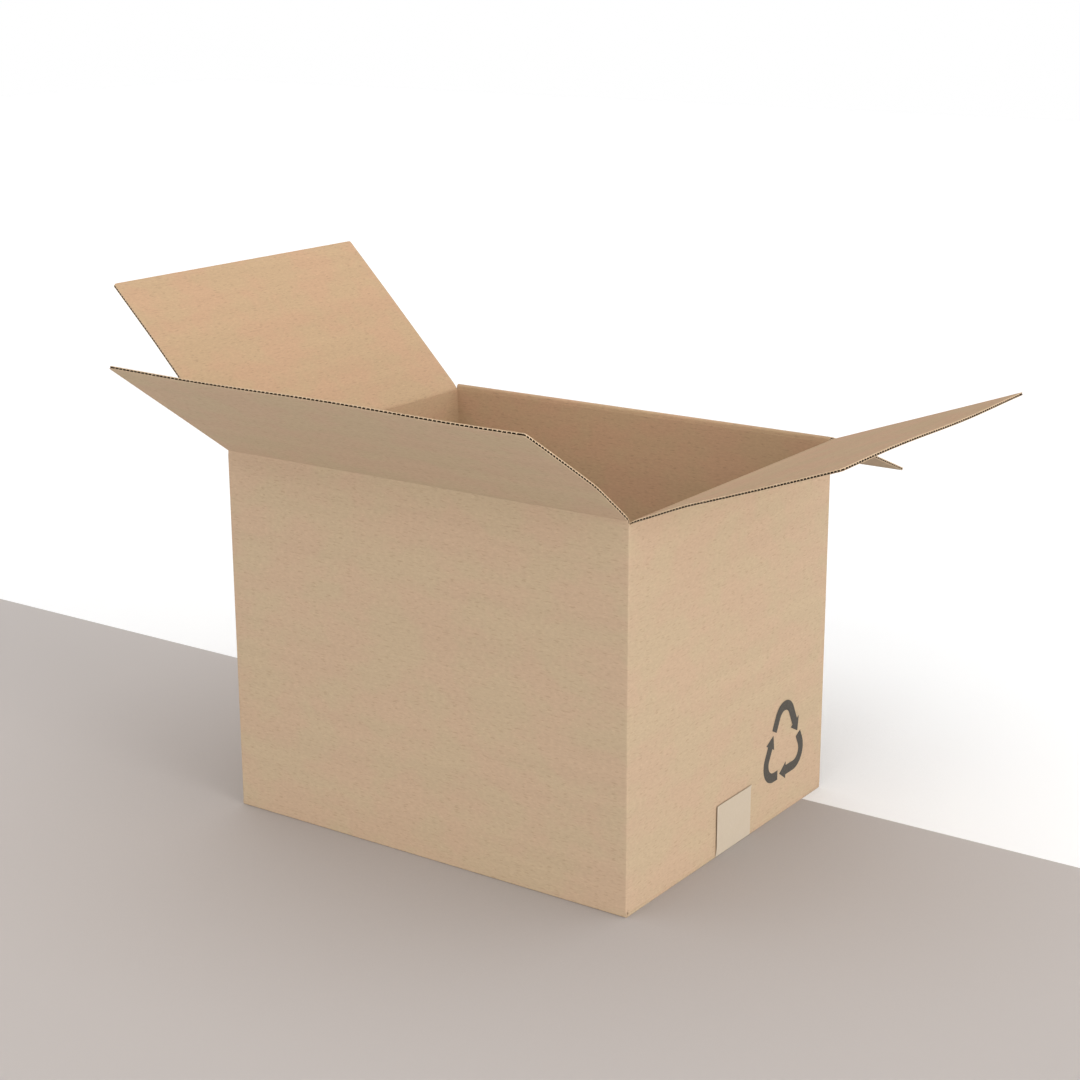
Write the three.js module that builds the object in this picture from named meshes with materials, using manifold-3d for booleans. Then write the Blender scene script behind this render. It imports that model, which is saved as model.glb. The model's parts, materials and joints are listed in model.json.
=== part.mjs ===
// An open shipping carton of single-wall corrugated board, a regular slotted container.
// Millimetres, +Z up. The origin is the centre of the footprint, on the surface it stands on.
// X runs along the long sides, and the short side with the printed sign faces +X.
import * as THREE from 'three';
import { mergeVertices } from 'three/addons/utils/BufferGeometryUtils.js';
import Module from 'manifold-3d';

const wasm = await Module();
wasm.setup();

// Carton
const cartonLength = 350;
const cartonWidth = 280;
const cartonHeight = 280;
const boardThickness = 2;
const linerThickness = 0.3;
const mediumThickness = 0.25;
const flutePitch = 3.5;
const cornerRadius = 2;

// Flaps
const seamGap = 1.6;
const shortFlapGap = 31;
const longFlapInset = 0.8;
const bottomFlapInset = 0.5;
const flapLayerGap = 0.3;
const flapSideGap = 0.5;
const creaseGap = 0.3;

// Glue tab, a strip of the back panel glued to the inside of the +X panel
const glueTabWidth = 35;
const glueTabEndMargin = 10;
const glueTabTaper = 12;

// Sealing tape
const tapeWidth = 50;
const tapeThickness = 0.2;
const tapeTurnUp = 40;
const tapeOffset = 4.5;

// How far each top flap is folded from closed, in degrees, as it stands
const frontFlapAngle = 144.9;
const backFlapAngle = 201.1;
const leftFlapAngle = 134.5;
const rightFlapAngle = 160.4;
const quarterTurn = Math.PI / 2;

// Steps in a rounded fold
const cornerSegments = 5;

// Materials
const boardColour = 0xcdb08c;
const tapeColour = 0xd0c0ac;
const boardRoughness = 0.9;
const tapeRoughness = 0.55;

// Derived places
const halfLength = cartonLength / 2;
const halfWidth = cartonWidth / 2;
const floorBottom = tapeThickness;
const innerFloorBottom = floorBottom + boardThickness;
const innerFloorTop = innerFloorBottom + boardThickness;
const longCreaseHeight = cartonHeight;
const shortCreaseHeight = cartonHeight - boardThickness - flapLayerGap;
const longFlapWidth = cartonLength - 2 * longFlapInset;
const shortFlapWidth = cartonWidth - 2 * (boardThickness + flapSideGap);
const innerHalfWidth = halfWidth - boardThickness;
const innerHalfLength = halfLength - boardThickness;
const slotBottom = shortCreaseHeight - creaseGap;
const longFlapDepth = halfWidth - seamGap / 2;
const shortFlapDepth = halfLength - shortFlapGap / 2;

// How deep joined parts run into each other, and how far a cut runs past the board
const overlap = 0.5;
const overshoot = 1;

// A closed geometry becomes a manifold solid.
function toSolid(geometry) {
  const bare = geometry.clone();
  bare.deleteAttribute('normal');
  bare.deleteAttribute('uv');
  const merged = mergeVertices(bare, 1e-4);
  const mesh = new wasm.Mesh({
    numProp: 3,
    vertProperties: new Float32Array(merged.attributes.position.array),
    triVerts: new Uint32Array(merged.index.array),
  });
  return new wasm.Manifold(mesh);
}

// A manifold solid becomes a three.js geometry again.
function toGeometry(solid) {
  const mesh = solid.getMesh();
  const geometry = new THREE.BufferGeometry();
  geometry.setAttribute('position', new THREE.BufferAttribute(new Float32Array(mesh.vertProperties), 3));
  geometry.setIndex(new THREE.BufferAttribute(new Uint32Array(mesh.triVerts), 1));
  geometry.computeVertexNormals();
  return geometry;
}

// A block between two corners
function block(low, high) {
  const geometry = new THREE.BoxGeometry(high[0] - low[0], high[1] - low[1], high[2] - low[2]);
  geometry.translate((low[0] + high[0]) / 2, (low[1] + high[1]) / 2, (low[2] + high[2]) / 2);
  return toSolid(geometry);
}

// A flat outline in X and Y, raised along Z from one height to another
function raised(shape, bottom, top) {
  const geometry = new THREE.ExtrudeGeometry(shape, {
    depth: top - bottom,
    bevelEnabled: false,
    curveSegments: cornerSegments,
  });
  geometry.translate(0, 0, bottom);
  return toSolid(geometry);
}

// An outline in Y and Z, carried along X from one end to the other
function carriedAlongX(points, start, end) {
  const shape = new THREE.Shape(points.map(([y, z]) => new THREE.Vector2(y, z)));
  const geometry = new THREE.ExtrudeGeometry(shape, { depth: end - start, bevelEnabled: false });
  geometry.rotateY(Math.PI / 2);
  geometry.rotateX(Math.PI / 2);
  geometry.translate(start, 0, 0);
  return toSolid(geometry);
}

// An outline in X and Z, carried along Y from one end to the other
function carriedAlongY(points, start, end) {
  const shape = new THREE.Shape(points.map(([x, z]) => new THREE.Vector2(x, z)));
  const geometry = new THREE.ExtrudeGeometry(shape, { depth: end - start, bevelEnabled: false });
  geometry.rotateX(Math.PI / 2);
  geometry.translate(0, end, 0);
  return toSolid(geometry);
}

// Plan of the folded walls: round at three folds, square where the +X panel ends at the glue joint
function wallPlan() {
  const x = halfLength;
  const y = halfWidth;
  const r = cornerRadius;
  const plan = new THREE.Shape();
  plan.moveTo(-x + r, -y);
  plan.lineTo(x - r, -y);
  plan.absarc(x - r, -y + r, r, -Math.PI / 2, 0, false);
  plan.lineTo(x, y);
  plan.lineTo(-x + r, y);
  plan.absarc(-x + r, y - r, r, Math.PI / 2, Math.PI, false);
  plan.lineTo(-x, -y + r);
  plan.absarc(-x + r, -y + r, r, Math.PI, 1.5 * Math.PI, false);
  return plan;
}

// The four walls, from the outer bottom flaps to the crease of the long top flaps
function walls() {
  const outside = raised(wallPlan(), floorBottom, longCreaseHeight - creaseGap);
  const inside = block(
    [-innerHalfLength, -innerHalfWidth, floorBottom - overshoot],
    [innerHalfLength, innerHalfWidth, longCreaseHeight + overshoot],
  );
  return outside.subtract(inside);
}

// The slots between the top flaps, down to the crease of the short flaps
function topSlots() {
  const endX = halfLength - longFlapInset;
  const outerX = halfLength + overshoot;
  const outerY = halfWidth + overshoot;
  const top = longCreaseHeight + overshoot;
  const shortSides = block([-outerX, -innerHalfWidth, slotBottom], [outerX, innerHalfWidth, top]);
  const right = block([endX, -outerY, slotBottom], [outerX, outerY, top]);
  const left = block([-outerX, -outerY, slotBottom], [-endX, outerY, top]);
  return shortSides.add(right).add(left);
}

// The board slopes down to the inside at each top crease, so that a flap can fold flat over it.
function creaseSlopes() {
  const t = boardThickness;
  const over = overshoot;
  const longTop = longCreaseHeight - creaseGap;
  const shortTop = slotBottom;
  let slopes = null;
  for (const side of [-1, 1]) {
    const longSlope = [
      [side * (halfWidth + over), longTop + over],
      [side * (innerHalfWidth - over), longTop - t - over],
      [side * (innerHalfWidth - over), longTop + over],
    ];
    const shortSlope = [
      [side * (halfLength + over), shortTop + over],
      [side * (innerHalfLength - over), shortTop - t - over],
      [side * (innerHalfLength - over), shortTop + over],
    ];
    const alongX = carriedAlongX(longSlope, -halfLength - over, halfLength + over);
    const alongY = carriedAlongY(shortSlope, -innerHalfWidth, innerHalfWidth);
    slopes = slopes ? slopes.add(alongX).add(alongY) : alongX.add(alongY);
  }
  return slopes;
}

// One outer bottom flap, folded under the carton up to the seam
function outerBottomFlap(side) {
  const seamY = side * (halfWidth - longFlapDepth);
  const foldY = side * halfWidth;
  const endX = halfLength - bottomFlapInset;
  return block(
    [-endX, Math.min(seamY, foldY), floorBottom],
    [endX, Math.max(seamY, foldY), innerFloorBottom],
  );
}

// One inner bottom flap, folded in over the outer ones
function innerBottomFlap(side) {
  const freeX = side * (halfLength - shortFlapDepth);
  const foldX = side * (innerHalfLength + overlap);
  const halfFlap = shortFlapWidth / 2;
  return block(
    [Math.min(freeX, foldX), -halfFlap, innerFloorBottom],
    [Math.max(freeX, foldX), halfFlap, innerFloorTop],
  );
}

// The slots at the bottom corners, where the outer flaps end
function bottomSlots() {
  const endX = halfLength - bottomFlapInset;
  const outerX = halfLength + overshoot;
  const outerY = halfWidth + overshoot;
  const bottom = floorBottom - overshoot;
  const right = block([endX, -outerY, bottom], [outerX, outerY, innerFloorBottom]);
  const left = block([-outerX, -outerY, bottom], [-endX, outerY, innerFloorBottom]);
  return right.add(left);
}

// The bottom fold of a long side is round outside: this is the waste of a square edge.
function roundedFoldWaste(side) {
  const r = cornerRadius;
  const over = overshoot;
  const points = [[side * (halfWidth + over), floorBottom - over]];
  points.push([side * (halfWidth - r), floorBottom - over]);
  for (let step = 0; step <= cornerSegments; step += 1) {
    const angle = quarterTurn * (step / cornerSegments);
    const y = halfWidth - r + r * Math.sin(angle);
    const z = floorBottom + r - r * Math.cos(angle);
    points.push([side * y, z]);
  }
  points.push([side * (halfWidth + over), floorBottom + r]);
  return carriedAlongX(points, -halfLength - over, halfLength + over);
}

// The glue tab, bent round the back corner and glued flat inside the +X panel
function glueTab() {
  const low = innerFloorTop + glueTabEndMargin;
  const high = slotBottom - boardThickness - glueTabEndMargin;
  const inner = innerHalfWidth - glueTabWidth;
  const outline = [
    [innerHalfWidth + overlap, low],
    [inner, low + glueTabTaper],
    [inner, high - glueTabTaper],
    [innerHalfWidth + overlap, high],
  ];
  return carriedAlongX(outline, innerHalfLength - boardThickness, innerHalfLength + overlap);
}

// The folded and glued carton below its top flaps: one sheet of board
function cartonGeometry() {
  let solid = walls().subtract(topSlots()).subtract(creaseSlopes()).subtract(bottomSlots());
  for (const side of [-1, 1]) {
    solid = solid.add(outerBottomFlap(side)).add(innerBottomFlap(side)).subtract(roundedFoldWaste(side));
  }
  return toGeometry(solid.add(glueTab()));
}

// The strip that seals the bottom seam and turns up both short sides
function tapeGeometry() {
  const outer = halfLength + tapeThickness;
  const outline = [
    [-outer, 0],
    [outer, 0],
    [outer, tapeTurnUp],
    [halfLength, tapeTurnUp],
    [halfLength, tapeThickness],
    [-halfLength, tapeThickness],
    [-halfLength, tapeTurnUp],
    [-outer, tapeTurnUp],
  ];
  return toGeometry(carriedAlongY(outline, tapeOffset - tapeWidth / 2, tapeOffset + tapeWidth / 2));
}

// The bays between the liners and the zigzag medium, in the section across the flutes
function fluteBays(width) {
  const half = flutePitch / 2;
  const low = linerThickness;
  const high = boardThickness - linerThickness;
  const height = high - low;
  const reach = half - (mediumThickness / 2) * (Math.hypot(half, height) / height);
  const tip = height * (reach / half);
  const count = Math.floor((width - 2 * linerThickness) / half) - 1;
  const first = -((count - 1) * half) / 2;
  const bays = [];
  for (let index = 0; index < count; index += 1) {
    const centre = first + index * half;
    const pointsUp = index % 2 === 0;
    const base = pointsUp ? low : high;
    bays.push(new THREE.Shape([
      new THREE.Vector2(centre - reach, base),
      new THREE.Vector2(centre + reach, base),
      new THREE.Vector2(centre, pointsUp ? low + tip : high - tip),
    ]));
  }
  return bays;
}

// A top flap lying flat: X along its crease, Y from the crease to the free edge, Z into the board
// from its outer face. Its flutes run along Y, and its root slopes to clear the wall when it is closed.
function flapGeometry(width, depth) {
  const plate = block([-width / 2, creaseGap, 0], [width / 2, depth, boardThickness]);
  const flutes = new THREE.ExtrudeGeometry(fluteBays(width), { depth: 2 * depth, bevelEnabled: false });
  flutes.rotateX(Math.PI / 2);
  flutes.translate(0, 1.5 * depth, 0);
  const geometry = toGeometry(plate.subtract(toSolid(flutes)));
  const position = geometry.attributes.position;
  for (let index = 0; index < position.count; index += 1) {
    const y = position.getY(index);
    const atRoot = y < depth / 2;
    position.setY(index, atRoot ? y + position.getZ(index) : y);
  }
  geometry.computeVertexNormals();
  return geometry;
}

function boardMaterial() {
  return new THREE.MeshStandardMaterial({ color: boardColour, roughness: boardRoughness, metalness: 0 });
}

function tapeMaterial() {
  return new THREE.MeshStandardMaterial({ color: tapeColour, roughness: tapeRoughness, metalness: 0 });
}

function namedMesh(name, geometry, material) {
  const mesh = new THREE.Mesh(geometry, material);
  mesh.name = name;
  return mesh;
}

// A flap on its crease: the wall's outward side is turned from -Y about Z, and the flap is folded
// about the crease line at the wall's outer face, from closed.
function foldedFlap(name, size, place) {
  const side = new THREE.Group();
  side.rotation.z = place.turn;
  const crease = new THREE.Group();
  crease.position.set(0, -place.distance, place.height);
  crease.rotation.y = Math.PI;
  const flap = namedMesh(name, flapGeometry(size.width, size.depth), boardMaterial());
  flap.rotation.x = -THREE.MathUtils.degToRad(place.angle);
  crease.add(flap);
  side.add(crease);
  return side;
}

const longFlapSize = { width: longFlapWidth, depth: longFlapDepth };
const shortFlapSize = { width: shortFlapWidth, depth: shortFlapDepth };
const longCrease = { distance: halfWidth, height: longCreaseHeight };
const shortCrease = { distance: halfLength, height: shortCreaseHeight };
const frontPlace = { ...longCrease, turn: 0, angle: frontFlapAngle };
const rightPlace = { ...shortCrease, turn: quarterTurn, angle: rightFlapAngle };
const backPlace = { ...longCrease, turn: 2 * quarterTurn, angle: backFlapAngle };
const leftPlace = { ...shortCrease, turn: -quarterTurn, angle: leftFlapAngle };

const carton = new THREE.Group();
carton.add(namedMesh('carton_body', cartonGeometry(), boardMaterial()));
carton.add(namedMesh('bottom_tape', tapeGeometry(), tapeMaterial()));
carton.add(foldedFlap('front_flap', longFlapSize, frontPlace));
carton.add(foldedFlap('right_flap', shortFlapSize, rightPlace));
carton.add(foldedFlap('back_flap', longFlapSize, backPlace));
carton.add(foldedFlap('left_flap', shortFlapSize, leftPlace));

export default carton;
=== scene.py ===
"""Looks of an open shipping carton of corrugated board, standing on a plain pale floor.

Every sheet of board is worked out from the carton's flat blank: a point is given by its place along
the crease, its way across the crease and its height through the board, and is folded into place.
Metres, +Z up, X along the long sides. The printed short side faces +X.
"""
import json
import logging
import math
from collections.abc import Sequence
from dataclasses import dataclass, field
from enum import Enum
from functools import cache

import bpy
import numpy as np
from mathutils import Matrix, Vector


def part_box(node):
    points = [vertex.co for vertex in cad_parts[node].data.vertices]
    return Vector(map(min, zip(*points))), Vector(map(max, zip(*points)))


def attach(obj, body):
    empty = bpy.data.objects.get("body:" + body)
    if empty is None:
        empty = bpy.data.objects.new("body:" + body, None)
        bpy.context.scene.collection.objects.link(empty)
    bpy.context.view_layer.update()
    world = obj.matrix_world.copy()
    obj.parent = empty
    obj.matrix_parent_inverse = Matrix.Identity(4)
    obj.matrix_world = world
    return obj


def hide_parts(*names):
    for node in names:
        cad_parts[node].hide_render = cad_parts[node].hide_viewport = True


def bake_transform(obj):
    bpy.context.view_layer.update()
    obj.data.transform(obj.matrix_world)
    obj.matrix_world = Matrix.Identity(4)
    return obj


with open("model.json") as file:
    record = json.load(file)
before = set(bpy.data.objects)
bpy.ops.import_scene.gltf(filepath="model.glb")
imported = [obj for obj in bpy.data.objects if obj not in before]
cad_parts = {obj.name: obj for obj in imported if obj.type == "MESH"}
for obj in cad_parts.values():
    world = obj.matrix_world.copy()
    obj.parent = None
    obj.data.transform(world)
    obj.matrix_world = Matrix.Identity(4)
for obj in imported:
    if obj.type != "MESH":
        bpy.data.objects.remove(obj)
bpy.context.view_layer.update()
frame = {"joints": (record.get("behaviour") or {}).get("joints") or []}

logging.basicConfig(level=logging.INFO, format="%(message)s")
LOG = logging.getLogger("carton")
MM = 0.001
UV_NAME = "Blank"
Array = np.ndarray


class Layer(Enum):
    """What a face of board shows, as its slot in the mesh's materials."""

    LINER = 0
    # Faces inside the board, coloured nearly black as painted shade in the open flutes.
    FLUTE_PAINTED_SHADE = 1
    CUT = 2
    INNER = 3


class Side(Enum):
    """A wall of the carton, by the word that its joint's and its flap's names start with."""

    FRONT = "front"
    BACK = "back"
    LEFT = "left"
    RIGHT = "right"


@dataclass(frozen=True)
class Board:
    """Single-wall corrugated board: two liners glued to a waved medium.

    The pitch is the way from one flute to the next. The dip is half the width of a wave's way down,
    as a share of the pitch. The clear is a hair's gap that keeps the papers' faces out of each other.
    """

    thickness: float = 2.0 * MM
    liner: float = 0.3 * MM
    medium: float = 0.24 * MM
    pitch: float = 3.5 * MM
    dip: float = 0.115
    clear: float = 0.02 * MM

    def medium_height(self, along: Array, pitch: float) -> tuple[Array, Array]:
        """Lower and upper face of the medium over a place along the cut edge.

        The lower face runs a paper's thickness under the inner liner and dips to the outer one once
        in each flute, as a bell curve. The upper face stays at the inner liner, because the knife
        has pressed each wave shut.

        Args:
            along: places along the cut edge, in metres.
            pitch: way from one flute to the next.

        Returns:
            The two heights through the board.
        """
        way = along / pitch - np.round(along / pitch)
        bell = np.exp(-((way / self.dip) ** 4))
        low, high = self.liner + self.clear, self.thickness - self.liner - self.clear
        run = high - self.medium
        return run + (low - run) * bell, np.full_like(along, high)


BOARD = Board()


def add_object(name: str, data: bpy.types.ID) -> bpy.types.Object:
    """Makes an object of a mesh, a lamp or a camera and puts it in the scene, at the origin.

    Args:
        name: the object's name.
        data: what it shows.

    Returns:
        The new object.
    """
    obj = bpy.data.objects.new(name, data)
    bpy.context.scene.collection.objects.link(obj)
    return obj


@dataclass
class Surface:
    """Vertices, quads, flat-blank coordinates and layers of one mesh, gathered slab by slab."""

    points: list[Array] = field(default_factory=list)
    quads: list[Array] = field(default_factory=list)
    blank: list[Array] = field(default_factory=list)
    layers: list[Array] = field(default_factory=list)
    count: int = 0

    def add_slab(
        self, low: Array, high: Array, blank: Array, face: Layer, rim: Layer, upper: Layer | None = None
    ) -> None:
        """Adds a closed slab between two grids of the same shape.

        The upper grid's faces turn along the first index and then the second, the lower grid's turn
        the other way, and four strips of quads close the rim.

        Args:
            low: points of the lower face, shape (m, n, 3).
            high: points of the upper face, same shape.
            blank: flat-blank coordinates of both, shape (m, n, 2).
            face: layer of the two faces.
            rim: layer of the rim.
            upper: layer of the upper face, where it isn't the same.
        """
        m, n = low.shape[:2]
        a = np.arange(m * n).reshape(m, n) + self.count
        b = a + m * n
        faces = [
            np.stack([b[:-1, :-1], b[1:, :-1], b[1:, 1:], b[:-1, 1:]], -1).reshape(-1, 4),
            np.stack([a[:-1, :-1], a[:-1, 1:], a[1:, 1:], a[1:, :-1]], -1).reshape(-1, 4),
        ]
        rims = [
            np.stack([a[:-1, 0], a[1:, 0], b[1:, 0], b[:-1, 0]], -1),
            np.stack([a[1:, -1], a[:-1, -1], b[:-1, -1], b[1:, -1]], -1),
            np.stack([a[0, 1:], a[0, :-1], b[0, :-1], b[0, 1:]], -1),
            np.stack([a[-1, :-1], a[-1, 1:], b[-1, 1:], b[-1, :-1]], -1),
        ]
        faces_all, rims_all = np.concatenate(faces), np.concatenate(rims)
        half = np.full(len(faces[0]), face.value)
        face_layers = np.concatenate([half if upper is None else half * 0 + upper.value, half])
        self.points += [low.reshape(-1, 3), high.reshape(-1, 3)]
        self.blank += [blank.reshape(-1, 2), blank.reshape(-1, 2)]
        self.quads += [faces_all, rims_all]
        self.layers += [face_layers, np.full(len(rims_all), rim.value)]
        self.count += 2 * m * n

    def make_object(self, name: str, materials: Sequence[bpy.types.Material]) -> bpy.types.Object:
        """Makes the mesh object, smooth on its faces and sharp at its rims.

        Args:
            name: the piece's name.
            materials: one material for each layer used.

        Returns:
            The new object, at the origin.
        """
        points, quads = np.concatenate(self.points), np.concatenate(self.quads)
        blank, layers = np.concatenate(self.blank), np.concatenate(self.layers)
        mesh = bpy.data.meshes.new(name)
        mesh.vertices.add(len(points))
        mesh.vertices.foreach_set("co", points.astype(np.float32).ravel())
        mesh.loops.add(quads.size)
        mesh.loops.foreach_set("vertex_index", quads.astype(np.int32).ravel())
        mesh.polygons.add(len(quads))
        mesh.polygons.foreach_set("loop_start", np.arange(0, quads.size, 4, dtype=np.int32))
        mesh.polygons.foreach_set("material_index", layers.astype(np.int32))
        mesh.update(calc_edges=True)
        uv = mesh.uv_layers.new(name=UV_NAME)
        uv.data.foreach_set("uv", blank[quads.ravel()].astype(np.float32).ravel())
        for material in materials:
            mesh.materials.append(material)
        mesh.validate()
        sharp_angle = math.radians(40)
        mesh.set_sharp_from_angle(angle=sharp_angle)
        return add_object(name, mesh)


@dataclass(frozen=True)
class Crease:
    """A fold in a sheet of board, seen in section: across the wall, and up.

    The board comes along the wall, turns by an angle round a small radius, and goes on straight.
    Its flutes are crushed there by a share of their height, which fades over the crush's reach.
    """

    turn: float
    radius: float
    outward: bool
    crush: float = 0.25
    crush_reach: float = 2.2 * MM

    @property
    def sign(self) -> float:
        """1 where the board turns outward over the wall, -1 where it turns in under it."""
        return 1.0 if self.outward else -1.0

    @property
    def start(self) -> float:
        """Where the bend starts, counted from the corner of the two outer faces."""
        return -self.radius * math.tan(self.turn / 2)

    @property
    def arc(self) -> float:
        """Length of the bend on the middle of the board."""
        return abs(self.radius + self.sign * BOARD.thickness / 2) * self.turn

    def end(self, depth: float) -> float:
        """Way to the free edge of a flap of that depth from the corner."""
        return self.start + self.arc + depth + self.start

    def section(self, way: Array, height: Array) -> tuple[Array, Array]:
        """Folds a point of the board in section.

        Before the bend the outer face runs straight along the wall. In the bend the board's normal
        turns evenly, and the outer face keeps the radius from the bend's centre. After it the
        board runs straight on. The height is laid off along the normal, less where the flutes are
        crushed, as a bell curve round the middle of the bend says.

        Args:
            way: way along the board from the corner, across the crease.
            height: height through the board from its outer face.

        Returns:
            The inward and the upward coordinate, counted from the corner.
        """
        middle = self.start + self.arc / 2
        squeeze = 1 - self.crush * np.exp(-(((way - middle) / (self.crush_reach + self.arc / 2)) ** 2))
        h = height * squeeze
        angle = np.clip((way - self.start) / self.arc, 0, 1) * self.turn
        before = np.minimum(way, self.start)
        after = np.maximum(way - self.start - self.arc, 0)
        signed = self.sign * self.radius
        inward = signed * (np.cos(angle) - 1) + h * np.cos(angle)
        up = self.sign * before + signed * np.sin(angle) + h * np.sin(angle)
        inward = inward - self.sign * after * np.sin(self.turn)
        up = up + self.sign * after * np.cos(self.turn)
        return inward, up


@dataclass(frozen=True)
class Place:
    """Where a crease lies: its corner's place, the way inward and the way along the crease."""

    corner: tuple[float, float, float]
    inward: tuple[float, float, float]
    upward: bool

    @property
    def along(self) -> Array:
        """Unit vector along the crease, so that along, across and through are right-handed."""
        heading = np.array([0.0, 0.0, 1.0 if self.upward else -1.0])
        return np.cross(heading, np.array(self.inward))

    def put(self, along: Array, inward: Array, up: Array) -> Array:
        """Puts section coordinates into the carton's frame: the corner plus each one times its way.

        Args:
            along: places along the crease.
            inward: inward coordinates of the section.
            up: upward coordinates of the section.

        Returns:
            The points, with one more axis for X, Y and Z.
        """
        base = np.array(self.corner)
        x = along[..., None] * self.along
        y = inward[..., None] * np.array(self.inward)
        z = up[..., None] * np.array([0.0, 0.0, 1.0])
        return base + x + y + z


def soft_noise(u: Array, v: Array, seed: float) -> Array:
    """A smooth wavy field between about -1 and 1: the mean of four sines that cross at odd angles.

    Args:
        u: first coordinate, in radians.
        v: second coordinate, in radians.
        seed: a number that shifts each sine by another phase.

    Returns:
        The field at each point.
    """
    waves = [(1.0, 0.37, 0.0), (-0.61, 1.13, 1.7), (1.71, -0.83, 3.1), (0.29, 1.93, 4.4)]
    total = sum(np.sin(seed * (1 + p) + f * u + g * v + p) for f, g, p in waves)
    return total / len(waves)


def soft_tent(share: Array, peak: float) -> Array:
    """A tent from 0 at the start, to about 1 at the peak, to 0 at the end, with a rounded ridge.

    It is the lesser of the two straight slopes, taken as a soft least: minus the logarithm of the
    sum of their negative exponentials.

    Args:
        share: places from 0 to 1.
        peak: where the ridge is, between 0 and 1.

    Returns:
        The tent's height at each place.
    """
    sharpness = 14.0
    rise, fall = share / peak, (1 - share) / (1 - peak)
    return -np.logaddexp(-sharpness * rise, -sharpness * fall) / sharpness


@dataclass(frozen=True)
class Sheet:
    """A straight strip of board across one crease, such as a flap with the wall's edge it hangs on.

    The wall's reach is how much of the wall it takes in. Bow, curl, lean, peak and ripple say how it
    is warped. The side strips are where the medium waves along the side edges, at their own pitch.
    The free edge is cut a little ragged. The seed shifts the ripple and the rag. Each flute takes
    flute_steps steps of the grid.
    """

    crease: Crease
    place: Place
    width: float
    wall_reach: float
    depth: float
    bow: float = 0.0
    curl: float = 0.0
    lean: float = 0.0
    peak: float = 0.5
    ripple: float = 0.0
    ripple_turns: float = 5.0
    flute_steps: int = 12
    side_pitch: float = 3.6 * MM
    side_strip: float = 4.0 * MM
    crushed_inset: float = 0.03 * MM
    open_sides: bool = True
    corner_radius: float = 1.6 * MM
    rag: float = 0.1 * MM
    rag_reach: float = 0.3 * MM
    rag_turns: float = 2300.0
    bend_rows: int = 9
    tip_rows: int = 6
    tip_reach: float = 6.0 * MM
    seed: float = 1.0
    blank_shift: float = 0.0

    def ways(self, rows: int) -> Array:
        """Rows of the grid: close together in the bend, after it and at the round free edge.

        Args:
            rows: rows over the flat part.

        Returns:
            The ways across the crease, from the wall to the free edge.
        """
        c = self.crease
        end = c.end(self.depth)
        bend = np.linspace(c.start, c.start + c.arc, self.bend_rows)
        wall = np.linspace(-self.wall_reach, c.start, 3)[:-1] if self.wall_reach > -c.start else []
        near = c.start + c.arc + np.array([1.0, 2.5, 5.0, 9.0]) * MM
        flat = np.linspace(near[-1], end - self.tip_reach, rows)[1:]
        tip = end - self.corner_radius * (1 - np.sin(np.linspace(0, np.pi / 2, self.tip_rows)))
        return np.concatenate([wall, bend, near, flat, [end - self.tip_reach / 2], tip])

    def half_width(self, way: Array) -> Array:
        """Half the width over the way: full, but less over the last stretch before the free edge.

        There each corner is a quarter of a circle: the root of the radius squared less the way into
        the corner squared.

        Args:
            way: ways across the crease.

        Returns:
            Half the width at each way.
        """
        r = self.corner_radius
        into = np.clip(way - (self.crease.end(self.depth) - r), 0, r)
        return self.width / 2 - r + np.sqrt(np.maximum(r**2 - into**2, 0))

    def warp(self, along: Array, way: Array) -> Array:
        """How far the flap leaves its plane, towards its inner face.

        The bow rises evenly to its peak and falls evenly to the free edge, the curl grows with the
        square of the way, and the lean tells how much stronger both are towards one end of the
        crease. The ripple waves the free edge. All of it starts from nothing at the crease.

        Args:
            along: places along the crease.
            way: ways across it.

        Returns:
            The distances from the plane.
        """
        bend_end = self.crease.start + self.crease.arc
        share = np.clip((way - bend_end) / self.depth, 0, 1)
        end = along / (self.width / 2)
        side = np.maximum(1 + self.lean * end, 0)
        bow = soft_tent(share, self.peak)
        ripple = np.sin(end * self.ripple_turns + self.seed) * share**2
        return (self.bow * bow + self.curl * share**2) * side + self.ripple * ripple

    def grid(self, along: Array, way: Array, height: Array) -> Array:
        """Folds and places board points, after the warp is added to their height.

        Args:
            along: places along the crease.
            way: ways across it.
            height: heights through the board, from its outer face.

        Returns:
            The points in the carton's frame.
        """
        h = height + self.warp(along, way)
        inward, up = self.crease.section(way, h)
        return self.place.put(along, inward, up)

    def blank(self, along: Array, way: Array) -> Array:
        """Flat-blank coordinates: along the crease and up the blank."""
        sign = 1.0 if self.place.upward else -1.0
        return np.stack([sign * along + self.blank_shift, sign * way + self.place.corner[2]], -1)

    def layer(
        self,
        surface: Surface,
        grid: tuple[Array, Array],
        heights: tuple[float | Array, float | Array],
        kinds: tuple[Layer, Layer],
    ) -> None:
        """Adds one paper of the board to a surface, as a slab between two heights.

        At the free edge it ends in the ragged line of the cut, by a soft field along the crease.

        Args:
            surface: where it is added.
            grid: places along and ways across the crease, both of shape (m, n).
            heights: its two heights through the board, as numbers or arrays of that shape.
            kinds: what its lower and its upper face show.
        """
        along, way = grid
        ragged = self.rag * soft_noise(along * self.rag_turns, np.ones_like(way), self.seed)
        way = np.where(way >= self.crease.end(self.depth) - self.rag_reach, way + ragged, way)
        low, high = (np.broadcast_to(height, along.shape) for height in heights)
        rim = Layer.CUT if self.open_sides else Layer.LINER
        below, above = self.grid(along, way, low), self.grid(along, way, high)
        surface.add_slab(below, above, self.blank(along, way), kinds[0], rim, kinds[1])

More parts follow.
